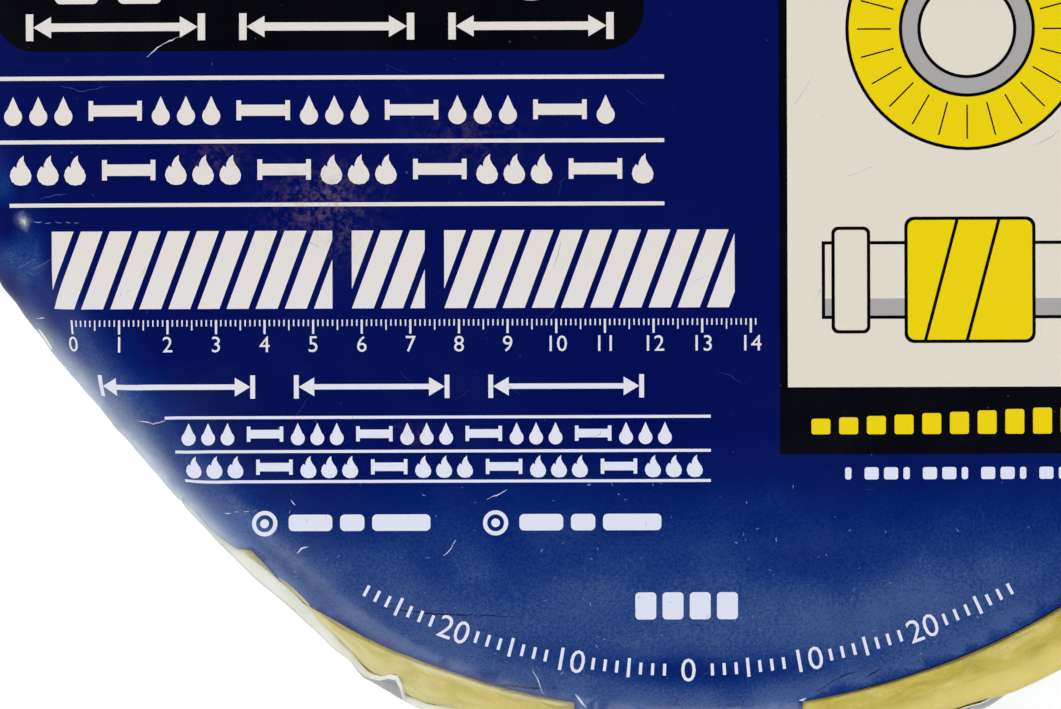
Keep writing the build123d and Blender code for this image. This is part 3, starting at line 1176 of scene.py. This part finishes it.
def ruler(left, right, low, high):
    """A centimetre rule with plain numbers."""
    shapes = []
    for tick in range(int(right - left) + 1):
        x = left + tick
        wide = by_tick(tick, 0.22, 0.14, 0.14)
        shapes.append(("white", rectangle(x - wide, high - by_tick(tick, 2.9, 2.1, 1.3), x + wide, high)))
        if tick % 10 == 0:
            shapes += number(tick // 10, x, low, high - low - 3.4)
    return shapes


def arc_scale(radius, first, last, height):
    """A scale of degrees along the label's lower edge, with plain numbers counted from the lowest point."""
    shapes = []
    for tick in range(first, last + 1):
        if tick % 10 == 0:
            shapes += number(abs(tick - 270), *plan_point(radius, tick), height, tick - 270)
        elif tick % 10 not in (1, 9):
            shapes.append(tick_mark(radius - height * 0.5, height * by_tick(tick, 0, 0.42, 0.26), tick, 0.13))
    return shapes


LINE = 0.7                    # width of the picture's black outlines


def outlined(ink, left, low, right, high, corner=0.0):
    """A rectangle with a black outline, and with round corners where a radius is given."""
    inner = (left + LINE, low + LINE, right - LINE, high - LINE)
    if corner:
        return [("black", rounded(left, low, right, high, corner)), (ink, rounded(*inner, corner - 0.5))]
    return [("black", rectangle(left, low, right, high)), (ink, rectangle(*inner))]


def picture(left, low, right, high):
    """A plain drawing: a pipe's cross-section in its cover, and the pipe from the side, part covered."""
    shapes = [
        ("black", rectangle(left - 1.7, low, right + 1.7, high + 1.7)),
        ("cream", rectangle(left, low, right, high)),
    ]
    x, y = left + 37.0, high - 33.0
    bands = (("yellow", 25.0), ("grey", 14.0), ("cream", 10.2))
    for ink, radius in bands:
        shapes += rings(x, y, ("black", radius, 72), (ink, radius - LINE, 72))
    shapes += [("black", moved(rectangle(15.6, -0.16, 22.6, 0.16), x, y, 15 * spoke)) for spoke in range(24)]
    base, tube, cover = low + 22.0, 8.0, 13.0
    start, end = left + 7.0, right - 6.0
    shapes += outlined("cream", start, base - tube, end, base + tube)
    shapes.append(("grey", rectangle(start + LINE, base - tube + LINE, end - LINE, base - tube + 4.2)))
    for x in (start + 6.0, end - 8.0):
        shapes += outlined("cream", x - 4.0, base - tube - 3.0, x + 4.0, base + tube + 3.0, 1.4)
    first, last = start + 17.0, end - 24.0
    shapes += outlined("yellow", first, base - cover, last, base + cover, 2.0)
    x = first + 4.0
    foot, top = base - cover + LINE, base + cover - LINE
    while x < last - 9.0:
        shapes.append(("black", [(x, foot), (x + LINE, foot), (x + 7.2, top), (x + 6.5, top)]))
        x += 8.6
    return shapes


RULES = (                     # white rules between the rows: left, right, height and thickness
    (-141.5, -4.7, -18.9, 0.85), (-141.5, -4.7, -32.0, 0.8), (-139.5, -4.7, -45.0, 0.8),
    (-107.6, 4.7, -88.8, 0.6), (-105.5, 4.7, -95.8, 0.6), (-103.9, 4.7, -102.0, 0.6),
)


def rule(left, right, y, thick):
    return ("white", rectangle(left, y - thick / 2, right, y + thick / 2))


def print_shapes():
    """All of the label's print, later shapes over earlier ones."""
    shapes = [("black", rounded(-142.5, -13.4, -8.8, 14.0, 8.2))]
    for left, right in ((-136.0, -99.0), (-92.0, -56.0), (-49.0, -15.0)):
        shapes += arrow(left, right, -8.4, 1.7, 3.68)
    for x, low, high in ((-130.0, -3.6, 9.6), (-117.0, -3.6, 9.6), (-84.0, -1.6, 7.6), (-71.0, -1.6, 7.6)):
        shapes.append(("white", rounded(x, low, x + 9.0, high, 1.2)))
    shapes += rings(-32.0, 3.4, ("white", 6.6, 40), ("black", 4.6, 36))
    shapes += rings(-32.0, 3.4, ("white", 3.0, 28), ("black", 1.2, 20))
    shapes += [rule(*line) for line in RULES]
    shapes += symbol_row(-140.5, -12.3, -28.6, 6.0, droplet, 5.2, 11.0)
    shapes += symbol_row(-139.0, -6.8, -40.9, 6.2, flame, 5.6, 11.0)
    for left, right in ((-130.8, -73.0), (-69.0, -54.0), (-50.0, 9.7)):
        shapes += wrap_band(left, -66.4, right, -50.4, 4.5, 1.5, 6.0)
    shapes += ruler(-127.0, 14.0, -75.3, -68.7)
    for left, right in ((-122.0, -89.0), (-81.0, -49.0), (-41.0, -9.0)):
        shapes += arrow(left, right, -82.5, 1.1, 3.2)
    shapes += symbol_row(-104.1, 0.8, -94.5, 4.6, droplet, 4.0, 7.5)
    shapes += symbol_row(-103.1, 3.5, -101.3, 4.6, flame, 4.3, 7.5)
    for left in (-89.7, -42.2):
        shapes += rings(left + 2.6, -110.6, ("white", 2.6, 30), ("blue", 1.75, 26), ("white", 0.9, 20))
        for x, wide in ((7.5, 9.0), (18.1, 5.0), (24.7, 12.0)):
            shapes.append(("white", rounded(left + x, -112.2, left + x + wide, -108.8, 1.0)))
    for x in (-10.9, -5.3, 0.3, 5.9):
        shapes.append(("white", rounded(x, -130.6, x + 4.3, -125.0, 0.8)))
    shapes += arc_scale(143.4, 242, 298, 4.7)
    # The black strip under the picture, with a yellow gauge, and a row of small marks under it.
    shapes.append(("black", rectangle(18.9, -96.7, 101.6, -82.9)))
    for k in range(13):
        shapes.append(("yellow", rounded(25.4 + 5.7 * k, -92.6, 29.3 + 5.7 * k, -89.4 + 0.27 * k, 0.5)))
    for k in range(14):
        x = 32.3 + 4.0 * k
        shapes.append(("white", rounded(x, -101.9, x + (2.9 if k % 3 else 1.3), -99.4, 0.5)))
    shapes += picture(20.6, -82.9, 101.6, 23.7)
    return shapes + upper_half_shapes()


def upper_half_shapes():
    """The label above what the photograph shows, finished plainly in the same manner."""
    shapes = [rule(-139.0, -4.7, 20.0, 0.8), rule(-132.0, 101.6, 31.0, 0.8), rule(-120.0, 112.0, 68.0, 0.8)]
    for left, right in ((-122.0, -44.0), (-36.0, 24.0), (32.0, 108.0)):
        shapes += wrap_band(left, 37.0, right, 62.0, 8.0, 1.6, 11.0)
    shapes += symbol_row(-112.0, 104.0, 73.0, 6.2, droplet, 5.6, 12.0)
    shapes += symbol_row(-104.0, 96.0, 85.0, 6.2, flame, 5.8, 12.0)
    shapes.append(("yellow", rounded(-72.0, 98.0, 72.0, 112.0, 7.0)))
    for k in range(9):
        shapes += rings(-56.0 + 14.0 * k, 105.0, ("black", 3.4, 28), ("yellow", 1.6, 20))
    return shapes + [tick_mark(139.0, by_tick(tick, 2.2, 1.5, 0.9), tick, 0.1) for tick in range(60, 121)]


# Label: wear, and folds drawn as painted shade. A mark is an ink, a width and a crooked line, as points from
# the label's centre.

CREASES = [
    ("bare_card", 0.60, [(-137.1, -47.8), (-136.5, -48.2), (-136.2, -49.0)]),
    ("scuff", 0.30, [(-134.4, -48.4), (-132.9, -48.5)]),
    ("scuff", 0.24, [(-132.1, -48.6), (-130.9, -48.5)]),
    ("scuff", 0.26, [(-130.1, -48.5), (-128.8, -48.6)]),
    ("scuff", 0.20, [(-128.0, -48.5), (-127.0, -48.5)]),
    ("scuff", 0.18, [(-126.3, -48.5), (-125.2, -48.6)]),
    ("scratch", 0.50, [(-136.4, -58.7), (-133.5, -57.4), (-130.9, -55.9)]),
    ("scratch", 0.60, [(-136.4, -58.7), (-134.5, -59.4)]),
    ("scratch", 0.60, [(-134.0, -55.9), (-136.2, -56.9), (-138.6, -58.0)]),
    ("scratch", 0.28, [(-133.2, -43.8), (-130.4, -42.9), (-127.6, -42.6)]),
    ("scratch", 0.26, [(-129.0, -20.3), (-124.3, -21.6), (-119.2, -20.4)]),
    ("scuff", 0.30, [(-54.8, -104.7), (-53.9, -105.0)]),
    ("scuff", 0.40, [(-20.8, -102.9), (-20.0, -102.8)]),
    ("bare_card", 0.35, [(-135.6, -68.6), (-133.4, -68.5)]),
    ("bare_card", 0.24, [(-95.4, -108.6), (-94.1, -108.3)]),
    ("bare_card", 0.22, [(-93.4, -108.2), (-92.3, -108.2)]),
    ("bare_card", 0.18, [(-91.6, -108.1), (-90.3, -108.0)]),
    ("scuff", 0.16, [(-89.6, -107.9), (-88.6, -107.8)]),
    ("bare_card", 0.30, [(-113.6, -89.5), (-110.2, -90.0), (-107.4, -89.3)]),
    ("bare_card", 0.45, [(-81.6, -105.8), (-80.8, -106.9)]),
    ("bare_card", 0.45, [(-80.6, -116.8), (-79.4, -115.7), (-78.2, -115.4)]),
    ("bare_card", 0.28, [(-37.2, -103.8), (-39.4, -104.9), (-41.5, -105.8)]),
    ("bare_card", 0.30, [(-47.7, -114.0), (-48.9, -116.2), (-50.4, -117.4)]),
    ("bare_card", 0.22, [(-32.1, -140.7), (-30.9, -143.4), (-29.8, -145.9)]),
    ("bare_card", 0.50, [(-23.3, -146.0), (-22.2, -147.4), (-20.9, -148.6)]),
    ("bare_card", 0.50, [(22.8, -147.4), (24.2, -147.0)]),
    ("bare_card", 0.35, [(-104.5, -10.5), (-108.0, -12.0), (-111.0, -14.5)]),
    # Folds: painted shade, dark lines along their valleys.
    ("fold", 0.45, [(-64.4, -127.9), (-52.0, -129.4), (-35.8, -129.9)]),
    ("fold", 0.90, [(-38.8, -143.8), (-34.0, -144.5), (-29.6, -144.7)]),
    ("fold", 0.40, [(25.5, -146.2), (30.0, -143.2), (34.4, -141.5)]),
    ("fold", 0.40, [(36.6, -142.7), (38.6, -141.6), (39.9, -140.9)]),
]
GLINT_SPOT = (-134.4, -73.4)       # painted highlight: a small glint beside the label's edge on the pressed side, where it bends
GLINT_SHAPE = (
    (-1.9, 2.3), (-0.9, 1.9), (-0.2, 0.8), (0.4, -0.4), (1.3, -1.8), (0.6, -2.5), (-0.4, -1.2), (-1.2, 0.4),
)
SCRATCH_COUNT = 90
FLECK_COUNT = 110


def polyline(points, step):
    """Points along an open line, a step apart."""
    points = np.asarray(points, float)
    lengths = np.concatenate([[0], np.cumsum(np.linalg.norm(np.diff(points, axis=0), axis=1))])
    at = np.linspace(0, lengths[-1], max(3, int(lengths[-1] / step) + 1))
    return points_of(np.interp(at, lengths, points[:, 0]), np.interp(at, lengths, points[:, 1]))


def crease(ink, width, points, rng):
    """A narrow crooked loop along a line, widest in the middle."""
    line = polyline(points, 0.7)
    line = line + rng.uniform(-0.14, 0.14, line.shape)
    along = unit(np.gradient(line, axis=0))
    wide = width / 2 * rng.uniform(0.3, 1.0, len(line)) * np.sin(np.linspace(0.25, math.pi - 0.25, len(line)))
    side = points_of(-along[:, 1], along[:, 0]) * wide[:, None]
    return (ink, np.concatenate([line - side, (line + side)[::-1]]))


def dark_edge(first, last):
    """Painted shade on the strip of print next to the cut edge, where the card turns down."""
    angles = np.linspace(first, last, int((last - first) * 2.5))
    outer = points_of(*plan_point(card_radius(angles) - 0.02, angles))
    inner = points_of(*plan_point(card_radius(angles) - 0.30, angles))
    return ("edge", np.concatenate([outer, inner[::-1]]))


def fold_shapes():
    """Painted shade: dark lines in the folds, which only darken the blue, and on two stretches of the edge
    where the card turns down.
    """
    rng = np.random.default_rng(72)
    shapes = [crease(*line, rng) for line in CREASES if line[0] == "fold"]
    return shapes + [dark_edge(-64.0, -48.0), dark_edge(-76.5, -64.0)]


def worn_shapes():
    """Creases down to the bare card, scuffs, fine scratches and flecks, and a small painted glint at the
    edge.
    """
    rng = np.random.default_rng(71)
    shapes = [crease(*line, rng) for line in CREASES if line[0] != "fold"]
    for _ in range(SCRATCH_COUNT):
        start = np.array(plan_point(LABEL_R * math.sqrt(rng.random()) * 0.97, rng.uniform(0, 360)))
        reach = np.array(plan_point(rng.uniform(1.0, 7.0), rng.choice([35, 60, 150]) + rng.normal(0, 14)))
        bow = rng.uniform(-0.6, 0.6, 2)
        line = [start, start + reach / 2 + bow, start + reach]
        shapes.append(crease("scratch", rng.uniform(0.05, 0.13), line, rng))
    for _ in range(FLECK_COUNT):
        start = np.array([rng.uniform(-85, 60), rng.normal(-122, 14)])
        if np.hypot(*start) < LABEL_R - 2.5:
            reach = np.array(plan_point(rng.uniform(0.3, 0.9), rng.uniform(0, 180)))
            shapes.append(crease("scuff", rng.uniform(0.12, 0.34), [start, start + reach], rng))
    return shapes + [("torn_card", moved(GLINT_SHAPE, *GLINT_SPOT, 0))]


# Label: the whole card as one mesh whose faces carry the inks.

CUT_SHOWS = 0.16              # width of the card's pale cut edge, seen from above
ROUND_STEPS = 170             # points along each half of the round front's edge
COARSE = 3.2                  # spacing of the points inside the card
FINE = 1.5                    # the same along the straps
CLEAR = 0.8                   # no such point lies nearer to the card's edge than this


def card_outline():
    """The cut edge of the flat card: the round front and both straps."""
    meets = math.degrees(math.acos(HALF_STRAP / LABEL_R))
    end = arc(HALF_STRAP - STRAP_CORNER_R, STRAP_END - STRAP_CORNER_R, STRAP_CORNER_R, 0, 90, 8)
    end += [(-x, y) for x, y in reversed(end)]
    halves = []
    # The round ends exactly on the straps' sides, because only what lies between them is laid as a strap.
    for middle, x in ((0, HALF_STRAP), (180, -HALF_STRAP)):
        angles = np.linspace(middle - meets, middle + meets, ROUND_STEPS)
        half = points_of(*plan_point(card_radius(angles), angles))
        half[[0, -1], 0] = x
        halves.append(half)
    right, left = halves
    return densify(np.concatenate([right, end, left, -np.array(end)]))


def inner_points():
    """Points inside the card that let it bend: closer together where it turns over the rim."""
    points = []
    for row, y in enumerate(np.arange(-LABEL_R, LABEL_R, COARSE * 0.87)):
        for x in np.arange(-LABEL_R, LABEL_R, COARSE):
            points.append((x + COARSE / 2 * (row % 2), y))
    for y in np.arange(-STRAP_END, STRAP_END, FINE):
        for x in np.linspace(-HALF_STRAP + FINE, HALF_STRAP - FINE, 16):
            if abs(y) > LABEL_R - 4:
                points.append((x, y))
    for angle in np.arange(185.0, 250.0, 0.5):
        for radius in np.arange(LABEL_R - 15.0, LABEL_R + 8.0, 1.1):
            points.append(plan_point(radius, angle))
    points = np.array(points, float)
    x, y = np.abs(points).T
    in_strap = (x < HALF_STRAP - CLEAR) & (y < STRAP_END - CLEAR) & (y > LABEL_R - 4)
    return points[(inside_card(*points.T) > CLEAR) | in_strap]


def spread_cut(flat):
    """The flat card with its cut edge moved outward a little, as the lower face of a cut card shows."""
    on_edge = (np.abs(inside_card(*flat.T)) < 0.05) & (np.abs(flat[:, 0]) > HALF_STRAP + 0.05)
    return flat * (1 + CUT_SHOWS / np.hypot(*flat.T) * on_edge)[:, None]


def print_mesh():
    """The flat card as a triangulation that follows every edge of the print: points, faces and their inks."""
    shapes = [("blue", card_outline())]
    shapes += [(ink, densify(loop)) for ink, loop in fold_shapes() + print_shapes() + worn_shapes()]
    points = []
    loops = []
    for _, loop in shapes:
        loops.append(list(range(len(points), len(points) + len(loop))))
        points += [Vector(point) for point in (loop[::-1] if signed_area(loop) < 0 else loop)]
    points += [Vector(point) for point in inner_points()]
    result = delaunay_2d_cdt(points, [], loops, 0, 1e-4)
    kept = [(face, shapes[max(sources)][0]) for face, sources in zip(result[2], result[5]) if 0 in sources]
    used = sorted({corner for face, _ in kept for corner in face})
    new_place = {old: new for new, old in enumerate(used)}
    faces = [tuple(new_place[corner] for corner in face) for face, _ in kept]
    return np.array(result[0])[used], faces, [ink for _, ink in kept]


def printed_label():
    """The label as one mesh: the printed face, the same face turned over below it, and the cut edge."""
    flat, faces, face_inks = print_mesh()
    upper = laid_label(flat)
    lower = laid_label(spread_cut(flat), LABEL_THICKNESS)
    normals = label_normals(flat)
    count = len(flat)
    sides = {(a, b) for face in faces for a, b in zip(face, face[1:] + face[:1])}
    rim = [(a, b) for a, b in sides if (b, a) not in sides]
    # The cut edge has points of its own, because its faces look outward.
    ends = sorted({corner for side in rim for corner in side})
    below = len(ends)
    place = {corner: 2 * count + index for index, corner in enumerate(ends)}
    all_faces = faces + [tuple(corner + count for corner in reversed(face)) for face in faces]
    all_faces += [(place[b], place[a], place[a] + below, place[b] + below) for a, b in rim]
    first, second = np.array(rim).T
    outward = np.zeros_like(upper)
    for end in (first, second):
        np.add.at(outward, end, np.cross(upper[second] - upper[first], normals[first]))
    outward = unit(outward[ends])
    names = sorted(INKS)
    materials = [ink_material(name) for name in names] + [card_back_material()]
    kinds = [names.index(ink) for ink in face_inks] + [len(names)] * len(faces)
    kinds += [names.index("cut")] * len(rim)
    source = np.concatenate([np.arange(count), np.arange(count), ends, ends])
    points = np.concatenate([upper, lower, upper[ends], lower[ends]])
    made = make_mesh(
        "printed_label", points, all_faces, materials, kinds,
        normals=np.concatenate([normals, -normals, outward, outward]),
        values={
            "painted_sheen": card_haze(flat)[source],
            "sheen_and_rubbing": card_rubbed(flat)[source],
            "smudged": spots(flat, SMUDGES)[source],
        },
    )
    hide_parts("paper_label")
    return made


# Loose fibres.

FIBRE_COUNT = 360
FIBRE_STEPS = 9


def strand_mesh(name, lines, radii, material):
    """Many thin strands as one mesh of three-sided tubes that taper to a point."""
    points = []
    faces = []
    base = 0
    for line, radius in zip(lines, radii):
        count = len(line)
        along = unit(np.gradient(line, axis=0))
        side = unit(np.cross(along, [0.0, 0.0, 1.0]))
        up = np.cross(side, along)
        taper = radius * np.sqrt(np.sin(np.linspace(0.15, math.pi - 0.15, count)))[:, None]
        for k in range(3):
            turn = 2 * math.pi * k / 3
            points.append(line + taper * (side * math.cos(turn) + up * math.sin(turn)))
        place = base + np.arange(3 * count).reshape(3, count)
        faces.append(quads(place[[0, 1, 2, 0]]))
        base += 3 * count
    made = make_mesh(name, np.concatenate(points), np.concatenate(faces).tolist(), [material])
    return made


def shoulder_height(radius, angle):
    """Height of the wool's surface on the outer turn's upper end."""
    start = pressed_radius(angle) - 0.3 - SHOULDER_R
    past = np.clip((radius - start) / SHOULDER_R, 0, 0.999)
    return STRIP_TOP + 0.35 - SHOULDER_R * (1 - np.sqrt(1 - past**2))


def loose_fibres(material):
    """Fibres that lie on the bare crescent beside the label and stand off it a little."""
    rng = np.random.default_rng(81)
    lines = []
    radii = []
    for _ in range(FIBRE_COUNT):
        angle = rng.uniform(240, 420) % 360
        x, y = plan_point(LABEL_R, angle)
        edge = math.hypot(x + LABEL_X, y)
        outline = float(pressed_radius(angle))
        under_a_strap = abs(angle_from(angle, 90)) < 9 or abs(angle_from(angle, 270)) < 8.2
        if under_a_strap or edge > outline - 1.4:
            continue
        start_radius = rng.uniform(min(edge + 0.8, outline - 2.0), outline - 1.8)
        length = rng.uniform(5, 26)
        drift = rng.normal(0, 0.13)
        bend = rng.normal(0, 0.02)
        share = np.linspace(-0.5, 0.5, FIBRE_STEPS)
        angles = angle + np.degrees(share * length / start_radius)
        radius = start_radius + share * length * drift + (share * length) ** 2 * bend * 0.3
        radius = np.clip(radius, edge - (1.6 if rng.random() < 0.03 else -0.7), outline - 2.0)
        height = shoulder_height(radius, angles) + rng.uniform(0.0, 0.4)
        height += rng.uniform(0, 0.8) * np.abs(share * 2) ** 3 * (rng.random() < 0.2)
        height = np.where(radius < edge + 0.6, np.maximum(height, LABEL_TOP + 0.75), height)
        lines.append(points_of(*plan_point(radius, angles), sunk(radius, angles, height)))
        radii.append(rng.uniform(0.03, 0.06))
    return strand_mesh("loose_fibres", lines, radii, material)


# Floor, light and camera.

FLOOR_HALF = 4.0                   # half the floor's side, in metres
FLOOR_LIFT = 0.33                  # glow that makes the floor as pale as the photograph's ground
LAMP_TARGET = Vector((0, 0, 0.05))
# Lamps: name, place, size, power and colour. The first stands where the label's lower part mirrors it.
LAMPS = (
    ("front", (-0.15, -0.95, 1.20), (1.2, 0.6), 8.5, (0.88, 0.94, 1.0)),
    ("left", (-1.15, 0.35, 0.85), (0.9, 0.9), 8.5, (1.0, 0.98, 0.95)),
    ("right", (1.10, 0.50, 0.85), (0.9, 0.9), 8.5, (1.0, 0.97, 0.93)),
)

VIEW_CENTRE = (-36.3, -76.0)       # the photograph looks straight down on this place, in millimetres
VIEW_WIDTH = 218.2                 # and is this wide at the label's level
VIEW_DISTANCE = 1400.0
VIEW_ROLL = -0.18                  # the print's rows rise a little to the right
SENSOR_WIDTH = 36.0


def seen_directly(finish):
    """1 for what the camera, a reflection or a view through glass sees, and 0 for light on surfaces."""
    rays = finish.node("LightPath", {}).outputs
    first = finish.math("MAXIMUM", rays["Is Camera Ray"], rays["Is Glossy Ray"])
    return finish.math("MAXIMUM", first, rays["Is Transmission Ray"])


def plain_floor():
    """A plain white floor."""
    mesh = bpy.data.meshes.new("floor")
    corners = rectangle(-FLOOR_HALF, -FLOOR_HALF, FLOOR_HALF, FLOOR_HALF)
    mesh.from_pydata([(x, y, 0) for x, y in corners], [], [(0, 1, 2, 3)])
    floor = add_object("floor", mesh)
    finish = new_finish("floor_white", Roughness=0.95, Base_Color=(240, 240, 240), Emission_Color=1.0)
    finish.feed(Emission_Strength=finish.times(seen_directly(finish), FLOOR_LIFT))
    mesh.materials.append(finish.owner)


def soft_light():
    """A soft world that is white to the camera, and three soft lamps."""
    world = bpy.data.worlds.new("studio")
    bpy.context.scene.world = world
    sky = Finish(world, "Background")
    height = sky.node("SeparateXYZ", {"Vector": sky.place("Generated")}).outputs["Z"]
    glow = sky.ramp(height, (0.0, 0.75), (0.55, 0.60), (0.80, 0.10), (1.0, 0.03))
    white = sky.ramp(height, (0.0, 1.0), (0.60, 1.0), (0.85, 0.10), (1.0, 0.03))
    sky.feed(Color=sky.mix(seen_directly(sky), glow, white), Strength=1.0)
    for name, place, size, power, colour in LAMPS:
        light = bpy.data.lights.new(name, "AREA")
        light.shape = "RECTANGLE"
        light.size, light.size_y = size
        light.energy = power
        light.color = colour
        lamp = add_object(name, light)
        lamp.location = place
        lamp.rotation_euler = (LAMP_TARGET - Vector(place)).to_track_quat("-Z", "Y").to_euler()


def camera():
    """A camera at the photograph's viewing angle."""
    data = bpy.data.cameras.new("camera")
    data.sensor_width = SENSOR_WIDTH
    data.lens = SENSOR_WIDTH * VIEW_DISTANCE / VIEW_WIDTH
    data.clip_start = 0.05
    made = add_object("camera", data)
    made.location = (VIEW_CENTRE[0] * MM, VIEW_CENTRE[1] * MM, (LABEL_TOP + VIEW_DISTANCE) * MM)
    made.rotation_euler = (0.0, 0.0, math.radians(VIEW_ROLL))
    bpy.context.scene.camera = made


def main():
    foil = foil_material()
    wound_strip(fibre_material())
    foil_wrap(foil, backing_material())
    foil_edges(foil)
    printed_label()
    loose_fibres(strand_material())
    plain_floor()
    soft_light()
    camera()
    bpy.context.scene.view_settings.view_transform = "Standard"


main()
